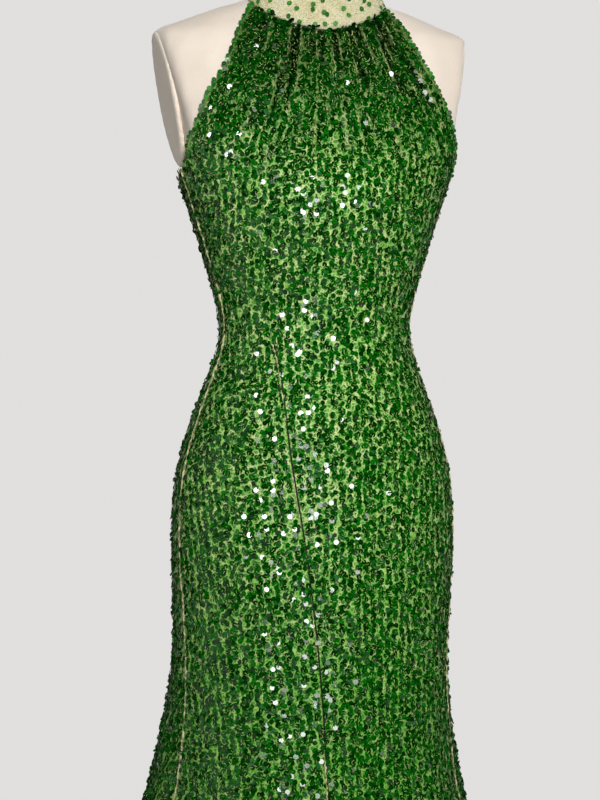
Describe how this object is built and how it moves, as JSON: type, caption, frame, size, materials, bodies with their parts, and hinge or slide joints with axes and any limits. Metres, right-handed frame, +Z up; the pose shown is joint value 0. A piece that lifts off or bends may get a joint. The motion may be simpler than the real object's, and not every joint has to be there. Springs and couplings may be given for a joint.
{
  "type": "evening gown on a dress form",
  "caption": "Sequined halter evening gown with a beaded stand collar, a slanting front seam and a trumpet skirt, on a limbless dress form with a round base.",
  "frame": {"origin": "on the floor, under the middle of the box round the whole part", "axes": "+Z up; the wearer faces -Y, so +X is the wearer's left"},
  "size_m": [0.7452, 0.7179, 1.5433],
  "materials": {
    "sequined_net": "emerald sequins sewn in rows on pale lime net",
    "collar_net": "cream net with clear beads and a few green sequins",
    "form_cloth": "cream jersey stretched over the form",
    "cap_wood": "waxed turned wood",
    "stand_metal": "satin black powder coat",
    "zip_metal": "green enamel to match the gown"
  },
  "bodies": {
    "gown_and_form": {"front_main": "sequined_net", "front_right": "sequined_net", "back_right": "sequined_net", "back_left": "sequined_net", "collar": "collar_net", "zip_slider": "zip_metal", "form_torso": "form_cloth", "form_arm_plate_right": "form_cloth", "form_arm_plate_left": "form_cloth", "form_neck_cap": "cap_wood", "stand_pole": "stand_metal", "stand_base": "stand_metal"},
    "pull_tab": {"zip_pull": "zip_metal"}
  },
  "joints": [
    {"name": "pull_hinge", "type": "hinge", "parent": "gown_and_form", "child": "pull_tab", "pos_m": [0, 0.005, 1.0267], "axis": [1, 0, 0], "range_deg": [0, 130]}
  ]
}
